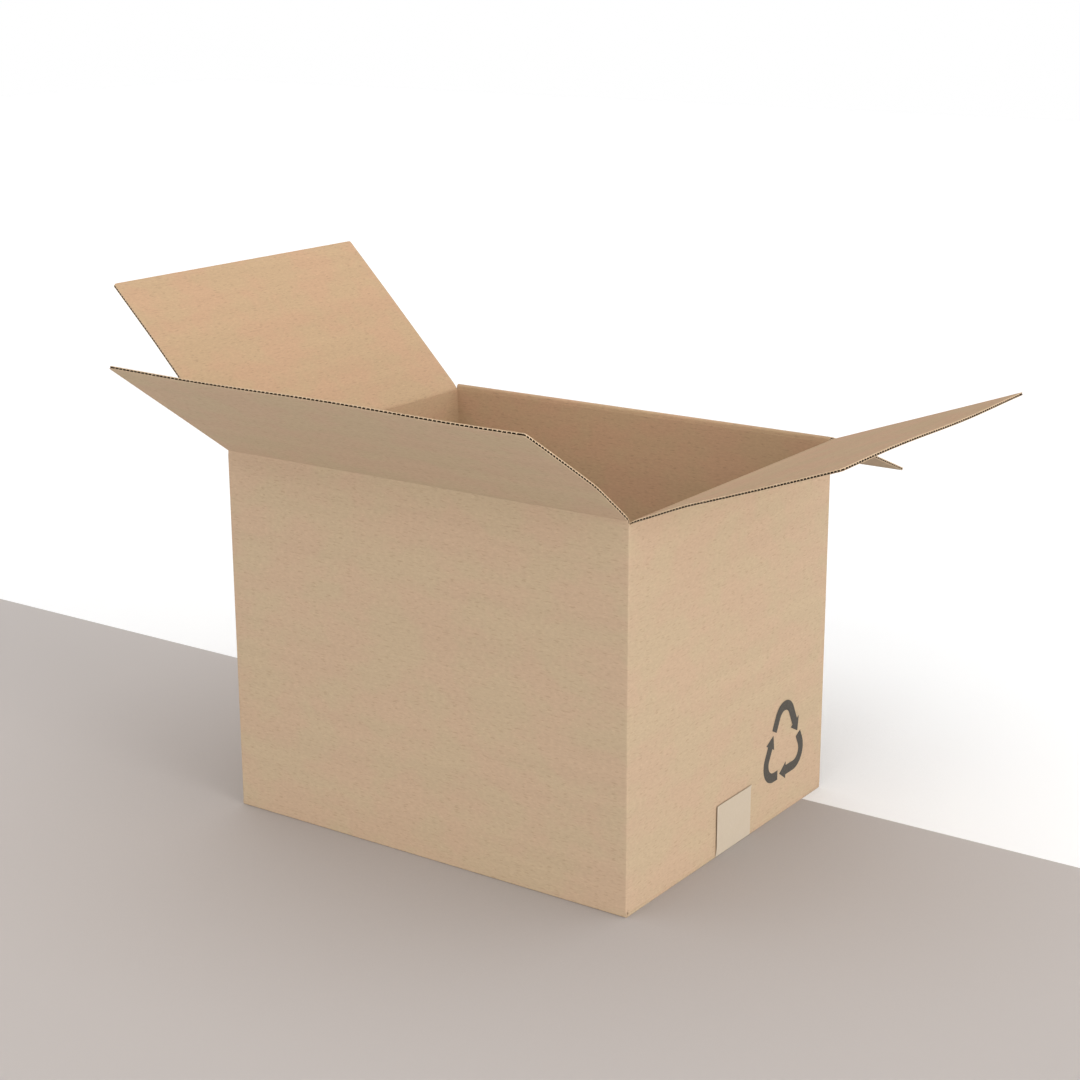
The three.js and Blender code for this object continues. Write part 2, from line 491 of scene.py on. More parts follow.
    def side_grid(self, side: float, ways: Array, inset: float) -> tuple[Array, Array]:
        """Grid of the narrow strip along one side edge of the flap, three places wide.

        Args:
            side: -1 or 1, the end of the crease that it lies at.
            ways: ways across the crease.
            inset: how far it stays inside the side edge.

        Returns:
            Places along the crease and ways across it.
        """
        inward = np.array([self.side_strip, self.side_strip / 2, inset])
        inward = inward if side > 0 else inward[::-1]
        way = np.broadcast_to(ways, (3, len(ways)))
        along = side * (self.half_width(way) - inward[:, None])
        return along, way

    def build(self, surface: Surface, rows: int = 22, columns: int = 160) -> Surface:
        """Adds the two liners and the medium between them, which waves along the crease.

        Args:
            surface: where the sheet is added.
            rows: rows of the grid over the flat part.
            columns: columns of the liners' grid.

        Returns:
            The same surface.
        """
        ways = self.ways(rows)
        unit, way = np.meshgrid(np.linspace(-1, 1, columns), ways, indexing="ij")
        along = unit * self.half_width(way)
        top, liner = BOARD.thickness, BOARD.liner
        self.layer(surface, (along, way), (0.0, liner), (Layer.LINER, Layer.FLUTE_PAINTED_SHADE))
        self.layer(surface, (along, way), (top - liner, top), (Layer.FLUTE_PAINTED_SHADE, Layer.INNER))
        flutes = round(self.width / BOARD.pitch)
        # The hidden medium takes every third row, and all the rows near the free edge.
        sparse = np.unique(np.concatenate([ways[:-12:3], ways[-8:]]))
        fine = np.linspace(-1, 1, flutes * self.flute_steps + 1)
        unit, way = np.meshgrid(fine, sparse, indexing="ij")
        along = unit * (self.half_width(way) - self.side_strip)
        kinds = (Layer.FLUTE_PAINTED_SHADE, Layer.FLUTE_PAINTED_SHADE)
        self.layer(surface, (along, way), BOARD.medium_height(along, BOARD.pitch), kinds)
        for side in (-1.0, 1.0):
            grid, heights = self.side_medium(side, ways)
            self.layer(surface, grid, heights, kinds)
        return surface

    def side_medium(
        self, side: float, ways: Array
    ) -> tuple[tuple[Array, Array], tuple[float | Array, float | Array]]:
        """The medium in the narrow strip along one side edge.

        It waves along the edge, as the photograph shows it, with an open flute at the corner. Where
        open_sides is off, the edge is crushed shut and it fills the space between the liners.

        Args:
            side: -1 or 1, the end of the crease that the strip lies at.
            ways: ways across the crease.

        Returns:
            Its grid and its two heights through the board.
        """
        if not self.open_sides:
            inner, outer = BOARD.liner + BOARD.clear, BOARD.thickness - BOARD.liner - BOARD.clear
            return self.side_grid(side, ways, self.crushed_inset), (inner, outer)
        steps = round((ways[-1] - ways[0]) / self.side_pitch) * self.flute_steps
        grid = self.side_grid(side, np.linspace(ways[0], ways[-1], steps + 1), 0.0)
        from_end = grid[1] - ways[-1] + self.side_pitch / 2
        return grid, BOARD.medium_height(from_end, self.side_pitch)


def plan_path(
    corners: list[tuple[float, float]], radii: list[float], spans: Sequence[int], turn: int = 6
) -> Array:
    """A flat path of straight spans joined by round bends.

    Each inner corner becomes an arc of its radius, tangent to both of its sides: from the point
    where it starts, the sine of the turned angle goes along the old heading and one less its
    cosine goes to the side that the path turns to. A span is evenly divided, so that the two
    faces of one sheet get the same number of points.

    Args:
        corners: the path's ends and corners, in order.
        radii: the radius at each inner corner.
        spans: how many steps each straight span takes.
        turn: how many steps each arc takes.

    Returns:
        Points, shape (n, 2).
    """
    points = np.array(corners, float)
    heads = np.diff(points, axis=0)
    heads /= np.linalg.norm(heads, axis=1)[:, None]
    cross = heads[:-1, 0] * heads[1:, 1] - heads[:-1, 1] * heads[1:, 0]
    turned = np.arctan2(cross, (heads[:-1] * heads[1:]).sum(axis=1))
    tangents = np.concatenate([[0], np.array(radii) * np.tan(np.abs(turned) / 2), [0]])
    parts = []
    for k, steps in enumerate(spans):
        start = points[k] + heads[k] * tangents[k]
        stop = points[k + 1] - heads[k] * tangents[k + 1]
        parts.append(start + (stop - start) * np.linspace(0, 1, steps + 1)[:, None])
        if k + 1 < len(spans):
            side = np.sign(turned[k]) * np.array([-heads[k, 1], heads[k, 0]])
            angle = np.linspace(0, abs(turned[k]), turn + 1)[1:-1, None]
            parts.append(stop + radii[k] * (np.sin(angle) * heads[k] + (1 - np.cos(angle)) * side))
    return np.concatenate(parts)


@dataclass
class Carton:
    """The carton below its top flaps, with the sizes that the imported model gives.

    The radii are those of the upright folds' outer and inner face and of the inner bottom flaps'
    crease. The walls stand out in slow waves, whose turns are in radians per metre.
    """

    half_length: float
    half_width: float
    top: float
    floor: float
    fold_radius: float = 0.9 * MM
    inner_radius: float = 0.2 * MM
    inner_flap_radius: float = 0.5 * MM
    tab_width: float = 35.0 * MM
    tab_margin: float = 10.0 * MM
    tab_taper: float = 12.0 * MM
    glue_gap: float = 0.08 * MM
    wave: float = 0.45 * MM
    wave_turns: float = 17.0
    wave_turns_up: float = 15.0
    wave_seed: float = 2.3
    bottom_inset: float = 0.2 * MM
    layer_gap: float = 0.05 * MM
    wall_rows: int = 45
    short_steps: int = 70
    long_steps: int = 90
    tab_steps: int = 12
    flap_rows: int = 8
    flap_columns: int = 40
    flap_flute_steps: int = 4
    flap_crush: float = 0.3
    flap_crush_reach: float = 2.0 * MM
    flap_corner: float = 0.4 * MM

    def perimeter(self) -> tuple[Array, Array, Array, Array]:
        """The plan of the walls and the glue tab.

        The sheet starts at the cut edge of the +X wall, goes round by the front, the -X wall and
        the back, and its glue tab turns in and lies inside the +X wall.

        Returns:
            Points of the outer face and of the inner face, the way walked along the outer one, and 1
            for the points on the tab, 0 for the others.
        """
        t = BOARD.thickness
        x, y, r = self.half_length, self.half_width, self.fold_radius
        tab_x = x - t - self.glue_gap
        tab_end = y - t - self.tab_width
        spans = [self.short_steps, self.long_steps, self.short_steps, self.long_steps, self.tab_steps]
        outside = [(x, y), (x, -y), (-x, -y), (-x, y), (tab_x, y), (tab_x, tab_end)]
        inside = [(x - t, y), (x - t, t - y), (t - x, t - y), (t - x, y - t)]
        inside += [(tab_x - t, y - t), (tab_x - t, tab_end)]
        outer = plan_path(outside, [r] * 4, spans)
        inner = plan_path(inside, [self.inner_radius] * 4, spans)
        steps = np.linalg.norm(np.diff(outer, axis=0), axis=1)
        walk = np.concatenate([[0], np.cumsum(steps)])
        tab_points = self.tab_steps + 2
        on_tab = (np.arange(len(outer)) >= len(outer) - tab_points).astype(float)
        return outer, inner, walk, on_tab

    def wave_out(self, point: Array, z: Array) -> Array:
        """How far a wall stands out from its plane: slow waves that fade at the folds and creases.

        Along the wall they fade with the sixth power of the share of its half length, and up the
        wall with a half turn of a sine.

        Args:
            point: plan points of the wall, X and Y on the last axis.
            z: their heights.

        Returns:
            The distances outward.
        """
        x, y = np.abs(point[..., 0]), np.abs(point[..., 1])
        on_short = self.half_length - x < self.half_width - y
        fade = 1 - np.where(on_short, y / self.half_width, x / self.half_length) ** 6
        low = self.floor + 2 * BOARD.thickness
        fade_z = np.sin(np.pi * np.clip((z - low) / (self.top - low), 0, 1))
        walk = point[..., 0] + 1.3 * point[..., 1]
        waves = soft_noise(walk * self.wave_turns, z * self.wave_turns_up, self.wave_seed)
        return self.wave * waves * np.clip(fade, 0, 1) * fade_z

    def walls(self, surface: Surface) -> None:
        """Adds the four walls and the glue tab: one sheet, bent at its four upright folds.

        Each plan point is carried up from the low edge to the high one in even steps. On the tab
        both edges come nearer as it goes, evenly. Where the normal lies along an axis, away from the
        folds, the point is pushed out along it by the waves.

        Args:
            surface: where the sheet is added.
        """
        outer, inner, walk, on_tab = self.perimeter()
        rows = self.wall_rows
        share = np.linspace(0, 1, rows)
        low_edge = self.floor + 2 * BOARD.thickness
        reach = np.clip((self.half_width - outer[:, 1]) / self.tab_width, 0, 1) * on_tab
        low = low_edge + on_tab * self.tab_margin + reach * self.tab_taper
        high = self.top - on_tab * (BOARD.thickness + self.tab_margin) - reach * self.tab_taper
        z = low[:, None] + (high - low)[:, None] * share
        normal = outer - inner
        length = np.linalg.norm(normal, axis=1, keepdims=True)
        normal = normal / np.maximum(length, 1e-9)
        out_x = np.repeat(outer[:, None, :], rows, axis=1)
        push = self.wave_out(out_x, z)[..., None] * normal[:, None, :]
        straight = np.abs(normal).max(axis=1) > 0.999
        push = push * straight[:, None, None]
        faces = [np.concatenate([face[:, None, :] + push, z[..., None]], -1) for face in (outer, inner)]
        walk_all = np.repeat(walk[:, None], rows, axis=1)
        blank = np.stack([walk_all, z], -1)
        surface.add_slab(faces[0], faces[1], blank, Layer.LINER, Layer.CUT, Layer.INNER)

    def blank_shifts(self) -> dict[Side, float]:
        """Blank coordinate of the middle of each wall, going round from the glue joint.

        Each round fold is shorter than its square corner by the loss: 2 less a quarter of a turn,
        times its radius.

        Returns:
            The coordinate for each wall.
        """
        loss = (2 - math.pi / 2) * self.fold_radius
        x, y = self.half_length, self.half_width
        return {
            Side.RIGHT: y,
            Side.FRONT: 2 * y + x - loss,
            Side.LEFT: 3 * y + 2 * x - 2 * loss,
            Side.BACK: 4 * y + 3 * x - 3 * loss,
        }

    def bottom_flap(self, side: Side, depth: float, width: float, lift: float) -> Sheet:
        """One closed bottom flap with the last of its wall.

        Args:
            side: the wall that it hangs on.
            depth: from the wall's outer face to the free edge.
            width: along the crease.
            lift: height of its outer face over the floor of the carton.

        Returns:
            The sheet, folded in by a right angle.
        """
        corner, inward = self.wall_place(side)
        place = Place((corner[0], corner[1], self.floor + lift), inward, False)
        radius = self.fold_radius if lift == 0 else self.inner_flap_radius
        return Sheet(
            Crease(math.pi / 2, radius, False, self.flap_crush, self.flap_crush_reach),
            place,
            width,
            wall_reach=2 * BOARD.thickness - lift,
            depth=depth,
            corner_radius=self.flap_corner,
            seed=3.3,
            blank_shift=self.blank_shifts()[side],
            flute_steps=self.flap_flute_steps,
            open_sides=False,
        )

    def wall_place(self, side: Side) -> tuple[tuple[float, float], tuple[float, float, float]]:
        """Middle of a wall's outer face in plan, and the way inward from it.

        Args:
            side: the wall.

        Returns:
            The point in X and Y, and the unit vector.
        """
        x, y = self.half_length, self.half_width
        return {
            Side.FRONT: ((0.0, -y), (0.0, 1.0, 0.0)),
            Side.BACK: ((0.0, y), (0.0, -1.0, 0.0)),
            Side.LEFT: ((-x, 0.0), (1.0, 0.0, 0.0)),
            Side.RIGHT: ((x, 0.0), (-1.0, 0.0, 0.0)),
        }[side]

    def build(self, long_depth: float, short_depth: float, short_width: float) -> bpy.types.Object:
        """Makes the walls, the glue tab and the four closed bottom flaps as one piece.

        Args:
            long_depth: depth of the long flaps.
            short_depth: depth of the short flaps.
            short_width: width of the short flaps.

        Returns:
            The carton's object.
        """
        surface = Surface()
        self.walls(surface)
        outer_width = 2 * (self.half_length - self.bottom_inset)
        inner_lift = BOARD.thickness + self.layer_gap
        flaps = [self.bottom_flap(side, long_depth, outer_width, 0.0) for side in (Side.FRONT, Side.BACK)]
        for side in (Side.LEFT, Side.RIGHT):
            flaps.append(self.bottom_flap(side, short_depth, short_width, inner_lift))
        for flap in flaps:
            flap.build(surface, self.flap_rows, self.flap_columns)
        return surface.make_object("folded_carton", board_materials())


@dataclass(frozen=True)
class Tape:
    """The strip that seals the bottom seam and turns up both short sides.

    Low and high are the corners of its solid. It comes loose at its near edge and its top ends:
    lifted_edge and lifted_top are how far they stand off, far_share is how much of that the far
    edge does, and lift_reach is how fast it fades. The rise is where it starts to, over the bend.
    """

    low: Vector
    high: Vector
    thickness: float = 0.2 * MM
    bend: float = 1.2 * MM
    clear: float = 0.04 * MM
    lifted_edge: float = 0.85 * MM
    lifted_top: float = 0.7 * MM
    lift_reach: float = 2.2 * MM
    far_share: float = 0.15
    bubble: float = 0.05 * MM
    rise_reach: float = 6.0 * MM
    margin: float = 4.0 * MM
    margin_rows: tuple[float, ...] = (0.0, 0.4 * MM, 1.0 * MM, 2.0 * MM)
    middle_rows: int = 18
    steps: tuple[int, int, int] = (16, 60, 16)

    def build(self, carton: Carton) -> bpy.types.Object:
        """Carries the strip's section along its width: up one side, under the carton and up the other.

        The strip follows the walls' waves. Its edges stand off a little where it is turned up, as
        an exponential of the way from the edge, and a soft field gives it shallow bubbles.

        Args:
            carton: the carton it sticks to.

        Returns:
            The tape's object.
        """
        t, end, top = self.thickness, self.high.x, self.high.z
        outside = [(-end, top), (-end, 0), (end, 0), (end, top)]
        inside = [(t - end, top), (t - end, t), (end - t, t), (end - t, top)]
        outer = plan_path(outside, [self.bend] * 2, self.steps)
        inner = plan_path(inside, [self.bend - t] * 2, self.steps)
        margin_rows = np.array(self.margin_rows)
        middle = np.linspace(self.low.y + self.margin, self.high.y - self.margin, self.middle_rows)
        y = np.concatenate([self.low.y + margin_rows, middle, self.high.y - margin_rows[::-1]])
        rise = np.clip((outer[:, 1] - self.bend) / self.rise_reach, 0, 1)
        surface = Surface()
        faces = []
        for face in (inner, outer):
            x = np.repeat(face[:, :1], len(y), axis=1)
            z = np.repeat(face[:, 1:], len(y), axis=1)
            across = np.broadcast_to(y, x.shape)
            wall = carton.wave_out(np.stack([x, across], -1), z)
            edge = np.exp(-(across - self.low.y) / self.lift_reach)
            edge = edge + self.far_share * np.exp(-(self.high.y - across) / self.lift_reach)
            crown = self.lifted_top * np.exp(-(top - z) / self.lift_reach)
            bubble = self.bubble * (1 + soft_noise(across * 160, z * 190, 4.1))
            push = wall + self.clear + bubble + np.maximum(self.lifted_edge * edge, crown)
            faces.append(np.stack([x + np.sign(x) * push * rise[:, None], across, z], -1))
        walk = np.concatenate([[0], np.cumsum(np.linalg.norm(np.diff(outer, axis=0), axis=1))])
        blank = np.stack(np.broadcast_arrays(y[None, :], walk[:, None]), -1)
        surface.add_slab(faces[0], faces[1], blank, Layer.LINER, Layer.LINER)
        return surface.make_object("sealing_tape", [TapePaper().material()])


@dataclass(frozen=True)
class RecyclingSign:
    """Three bent arrows that chase each other round a triangle, printed on the +X wall.

    Each arrow starts on one side of the triangle, turns round its corner and ends in a head on the
    next side. Places are counted from the middle of the wall and from the floor. A tail is how far
    from its corner an arrow starts.
    """

    centre: float = 79.2 * MM
    bottom: float = 33.9 * MM
    base: float = 68.8 * MM
    height: float = 66.7 * MM
    stroke: float = 7.6 * MM
    bend: float = 11.6 * MM
    head_length: float = 9.8 * MM
    head_width: float = 13.9 * MM
    gap: float = 2.8 * MM
    tails: tuple[float, float, float] = (33.9 * MM, 27.1 * MM, 25.6 * MM)
    tip_width: float = 0.1 * MM
    ink: float = 0.03 * MM
    clear: float = 0.006 * MM
    shaft_steps: tuple[int, int] = (8, 8)
    bend_steps: int = 16
    head_rows: int = 7
    columns: int = 7

    def corners(self) -> Array:
        """The triangle's corners in Y and Z: top, right, left."""
        c, z, half = self.centre, self.bottom, self.base / 2
        return np.array([(c, z + self.height), (c + half, z), (c - half, z)])

    def arrow(self, k: int, surface: Surface, carton: Carton) -> None:
        """Adds one arrow: a ribbon along its path, as wide as the stroke and then as the head.

        The path comes along one side to the corner, turns by an arc and goes on to the tip. Across
        it the ribbon's points go from one edge to the other, along the path's normal. The head's
        half width falls evenly to nothing at the tip.

        Args:
            k: which corner the arrow turns round.
            surface: where the ribbon is added.
            carton: the carton whose wall it lies on.
        """
        corners = self.corners()
        here, before, after = corners[k], corners[k - 1], corners[(k + 1) % 3]
        side = np.linalg.norm(after - here)
        reach = side - self.tails[(k + 1) % 3] - self.gap
        tail = here + (before - here) / np.linalg.norm(before - here) * self.tails[k]
        tip = here + (after - here) / side * reach
        neck = here + (after - here) / side * (reach - self.head_length)
        bent = [tuple(tail), tuple(here), tuple(neck)]
        shaft = plan_path(bent, [self.bend], self.shaft_steps, self.bend_steps)
        head = neck + (tip - neck) * np.linspace(0, 1, self.head_rows)[:, None]
        path = np.concatenate([shaft, head])
        half = np.full(len(path), self.stroke / 2)
        half[len(shaft):] = np.linspace(self.head_width / 2, self.tip_width / 2, self.head_rows)
        way = np.gradient(path, axis=0)
        way[len(shaft) - 1:] = tip - neck
        way /= np.linalg.norm(way, axis=1)[:, None]
        normal = np.stack([-way[:, 1], way[:, 0]], -1)
        across = np.linspace(-1, 1, self.columns)
        flat = path[:, None, :] + normal[:, None, :] * (half[:, None] * across)[..., None]
        y, z = flat[..., 0], flat[..., 1]
        x = np.full_like(y, carton.half_length)
        x = x + carton.wave_out(np.stack([x, y], -1), z) + self.clear
        low, high = np.stack([x, y, z], -1), np.stack([x + self.ink, y, z], -1)
        surface.add_slab(low, high, np.stack([y, z], -1), Layer.LINER, Layer.LINER)

    def build(self, carton: Carton) -> bpy.types.Object:
        """Makes the whole sign as one printed piece.

        Args:
            carton: the carton it is printed on.

        Returns:
            The sign's object.
        """
        surface = Surface()
        for k in range(3):
            self.arrow(k, surface, carton)
        return surface.make_object("recycling_sign", [SignInk().material()])


class Graph:
    """A small helper that adds and joins the nodes of one material."""

    def __init__(self, name: str) -> None:
        """Starts an empty node material, with its shader and output.

        Args:
            name: the material's name.
        """
        self.material = bpy.data.materials.new(name)
        self.material.use_nodes = True
        self.nodes = self.material.node_tree.nodes
        self.links = self.material.node_tree.links
        self.nodes.clear()
        self.output = self.nodes.new("ShaderNodeOutputMaterial")
        self.shader = self.nodes.new("ShaderNodeBsdfPrincipled")
        self.links.new(self.shader.outputs["BSDF"], self.output.inputs["Surface"])

    def node(self, kind: str, settings: dict | None = None, **inputs: object) -> bpy.types.Node:
        """Adds a node.

        Args:
            kind: the node's type name, after ShaderNode.
            settings: its own properties.
            **inputs: a value or another node's output for each input, by its name with _ for a
                space, or by i and its number.

        Returns:
            The new node.
        """
        made = self.nodes.new("ShaderNode" + kind)
        for key, value in (settings or {}).items():
            setattr(made, key, value)
        for key, value in inputs.items():
            numbered = key[0] == "i" and key[1:].isdigit()
            self.feed(made.inputs[int(key[1:]) if numbered else key.replace("_", " ")], value)
        return made

    def feed(self, socket: bpy.types.NodeSocket, value: object) -> None:
        """Links an output to a socket, or sets the socket's own value.

        Args:
            socket: the input.
            value: another node's output, or a constant.
        """
        if isinstance(value, bpy.types.NodeSocket):
            self.links.new(value, socket)
        else:
            socket.default_value = value

    def blank(self, scale: tuple[float, float], shift: float = 0.0) -> bpy.types.NodeSocket:
        """Flat-blank coordinates in metres, scaled and then shifted.

        Args:
            scale: the scale along and across the crease.
            shift: what is added to both.

        Returns:
            The coordinates.
        """
        uv = self.node("UVMap", {"uv_map": UV_NAME}).outputs["UV"]
        place = {"Scale": (*scale, 1.0), "Location": (shift, shift, 0.0)}
        return self.node("Mapping", Vector=uv, **place).outputs["Vector"]

    def noise(
        self, scale: tuple[float, float], detail: float, rough: float = 0.6, shift: float = 0.0
    ) -> bpy.types.NodeSocket:
        """A noise field on the flat blank.

        Args:
            scale: how many turns of the noise fit in a metre, along and across the crease.
            detail: how many finer octaves are added.
            rough: how strong the finer ones are.
            shift: moves the field, so that two fields of one scale differ.

        Returns:
            The field, about 0 to 1.
        """
        made = self.node("TexNoise", {"noise_dimensions": "2D"}, Vector=self.blank(scale, shift), Scale=1.0)
        self.feed(made.inputs["Detail"], detail)
        self.feed(made.inputs["Roughness"], rough)
        return made.outputs["Fac"]

    def spread(
        self, value: bpy.types.NodeSocket, low: float, high: float, to_low: float, to_high: float
    ) -> bpy.types.NodeSocket:
        """Maps a field's range to another one, clamped.

        Args:
            value: the field.
            low: where its range starts.
            high: where its range ends.
            to_low: what the start becomes.
            to_high: what the end becomes.

        Returns:
            The new field.
        """
        made = self.node("MapRange", Value=value, i1=low, i2=high, i3=to_low, i4=to_high)
        return made.outputs["Result"]

    def reckon(self, operation: str, a: object, b: object) -> bpy.types.NodeSocket:
        """Adds, multiplies or otherwise joins two values, by the operation's name."""
        return self.node("Math", {"operation": operation}, i0=a, i1=b).outputs[0]

    def grey(self, value: bpy.types.NodeSocket) -> bpy.types.NodeSocket:
        """Turns a value into a grey colour."""
        return self.node("CombineColor", Red=value, Green=value, Blue=value).outputs["Color"]

    def mix(self, share: object, a: object, b: object, blend: str = "MIX") -> bpy.types.NodeSocket:
        """Mixes two colours.

        Args:
            share: how much of the second one shows, 0 to 1.
            a: the first colour.
            b: the second colour.
            blend: how they are joined, by Blender's name for it.

        Returns:
            The mixed colour.
        """
        made = self.nodes.new("ShaderNodeMix")
        made.data_type, made.blend_type = "RGBA", blend
        self.feed(made.inputs[0], share)
        self.feed(made.inputs[6], a)
        self.feed(made.inputs[7], b)
        return made.outputs[2]

    def dress(self, colour: object, roughness: object, specular: float) -> None:
        """Sets the shader's colour and gloss.

        Args:
            colour: the base colour.
            roughness: the roughness.
            specular: how strongly it reflects.
        """
        self.feed(self.shader.inputs["Base Color"], colour)
        self.feed(self.shader.inputs["Roughness"], roughness)
        self.feed(self.shader.inputs["Specular IOR Level"], specular)

    def emboss(self, height: bpy.types.NodeSocket, strength: float, distance: float) -> None:
        """Gives the shader a relief.

        Args:
            height: the relief's field, 0 to 1.
            strength: how strongly it shows.
            distance: how deep it is.
        """
        bump = self.node("Bump", Height=height, Strength=strength, Distance=distance)
        self.feed(self.shader.inputs["Normal"], bump.outputs["Normal"])


def channel(value: int) -> float:
    """One display channel of 0 to 255 as linear light: a straight foot, then a power curve."""
    share = value / 255
    return share / 12.92 if share <= 0.04045 else ((share + 0.055) / 1.055) ** 2.4


def linear(red: int, green: int, blue: int) -> tuple[float, float, float, float]:
    """A display colour of 0 to 255 a channel, as linear light with full alpha."""
    return channel(red), channel(green), channel(blue), 1.0


@dataclass(frozen=True)
class Kraft:
    """Brown liner paper: short fibres along the crease, soft mottling, flecks and a trace of the flutes."""

    name: str = "kraft_liner"
    rosy: tuple[int, int, int] = (177, 152, 127)
    straw: tuple[int, int, int] = (175, 154, 127)
    fibre: tuple[int, int, int] = (140, 116, 90)
    roughness: float = 0.88

    def material(self) -> bpy.types.Material:
        """Builds the paper's nodes.

        Returns:
            The paper's material.
        """
        g = Graph(self.name)
        tint = g.noise((22, 34), detail=3, rough=0.55, shift=7.0)
        grain = g.noise((260, 620), detail=3)
        flecks = g.noise((150, 950), detail=2, rough=0.45, shift=5.0)
        pale_flecks = g.noise((280, 900), detail=2, rough=0.45, shift=13.0)
        bands = g.noise((3, 90), detail=3, shift=3.0)
        colour = g.mix(g.spread(tint, 0.4, 0.6, 0.0, 1.0), linear(*self.rosy), linear(*self.straw))
        shade = g.spread(grain, 0.3, 0.7, 0.955, 1.045)
        shade = g.reckon("MULTIPLY", shade, g.spread(bands, 0.35, 0.65, 0.985, 1.015))
        shade = g.reckon("MULTIPLY", shade, g.spread(pale_flecks, 0.66, 0.74, 1.0, 1.07))
        colour = g.mix(1.0, colour, g.grey(shade), "MULTIPLY")
        colour = g.mix(g.spread(flecks, 0.645, 0.72, 0.0, 0.36), colour, linear(*self.fibre))
        g.dress(colour, self.roughness, specular=0.2)
        # One band of the wave texture is a tenth of pi wide at a scale of 1.
        flute_scale = math.pi / 10 / BOARD.pitch
        kind = {"wave_type": "BANDS", "bands_direction": "X", "wave_profile": "SIN"}
        flute = g.node("TexWave", kind, Vector=g.blank((1, 1)), Scale=flute_scale)
        ridges = g.reckon("MULTIPLY", flute.outputs["Fac"], 0.1)
        height = g.reckon("ADD", g.reckon("MULTIPLY", grain, 0.6), ridges)
        g.emboss(height, strength=0.25, distance=0.3 * MM)
        return g.material


@dataclass(frozen=True)
class CutPaper:
    """The papers where the board was cut, rough and open, or the faces inside the board, coloured nearly
    black as painted shade in the flutes.
    """

    name: str
    base: tuple[int, int, int]
    dark: tuple[int, int, int]

    def material(self) -> bpy.types.Material:
        """Builds the raw paper's nodes.

        Returns:
            The raw paper's material.
        """
        g = Graph(self.name)
        fibres = g.noise((1800, 1800), detail=4, rough=0.7)
        patches = g.noise((120, 120), detail=3, rough=0.5, shift=2.0)
        colour = g.mix(g.spread(fibres, 0.35, 0.65, 0.0, 1.0), linear(*self.dark), linear(*self.base))
        colour = g.mix(g.spread(patches, 0.35, 0.7, 0.0, 0.3), colour, linear(*self.dark))
        g.dress(colour, roughness=0.95, specular=0.15)
        g.emboss(fibres, strength=0.4, distance=0.2 * MM)
        return g.material


@dataclass(frozen=True)
class TapePaper:
    """Pale smooth sealing tape, with a faint grain and soft rubbed patches."""

    base: tuple[int, int, int] = (180, 166, 147)
    dark: tuple[int, int, int] = (176, 162, 143)

    def material(self) -> bpy.types.Material:
        """Builds the tape's nodes.

        Returns:
            The tape's material.
        """
        g = Graph("tape_paper")
        grain = g.noise((900, 220), detail=4)
        patches = g.noise((60, 60), detail=3, rough=0.5, shift=4.0)
        colour = g.mix(g.spread(grain, 0.35, 0.65, 0.0, 0.8), linear(*self.dark), linear(*self.base))
        colour = g.mix(g.spread(patches, 0.4, 0.7, 0.0, 0.3), colour, linear(*self.base))
        g.dress(colour, g.spread(patches, 0.3, 0.7, 0.42, 0.56), specular=0.35)
        g.emboss(grain, strength=0.15, distance=0.1 * MM)
        return g.material


@dataclass(frozen=True)
class SignInk:
    """Dark grey water-based ink, a little thin where the paper's fibres stand up."""

    base: tuple[int, int, int] = (70, 66, 60)
    thin: tuple[int, int, int] = (100, 92, 82)

    def material(self) -> bpy.types.Material:
        """Builds the ink's nodes.

        Returns:
            The ink's material.
        """
        g = Graph("sign_ink")
        fibres = g.noise((300, 1400), detail=5, rough=0.65)
        colour = g.mix(g.spread(fibres, 0.55, 0.75, 0.0, 0.8), linear(*self.base), linear(*self.thin))
        g.dress(colour, roughness=0.8, specular=0.25)
        g.emboss(fibres, strength=0.2, distance=0.2 * MM)
        return g.material


@cache
def board_materials() -> tuple[bpy.types.Material, ...]:
    """The board's papers and the painted shade inside its flutes, made once.

    Returns:
        Their materials, in the order of their layers.
    """
    papers = (
        Kraft(),
        # Nearly black instead of the medium's own brown: painted shade in the open flutes, on every face
        # inside the board.
        CutPaper("flute_painted_shade", (62, 44, 29), (46, 32, 22)),
        CutPaper("kraft_cut", (206, 182, 152), (184, 158, 128)),
        # The inner liner is a lighter, warmer kraft than the outer one: painted light, standing in for the
        # light inside the open carton.
        Kraft("inner_liner_painted_light", (185, 152, 122), (182, 154, 122)),
    )
    return tuple(paper.material() for paper in papers)


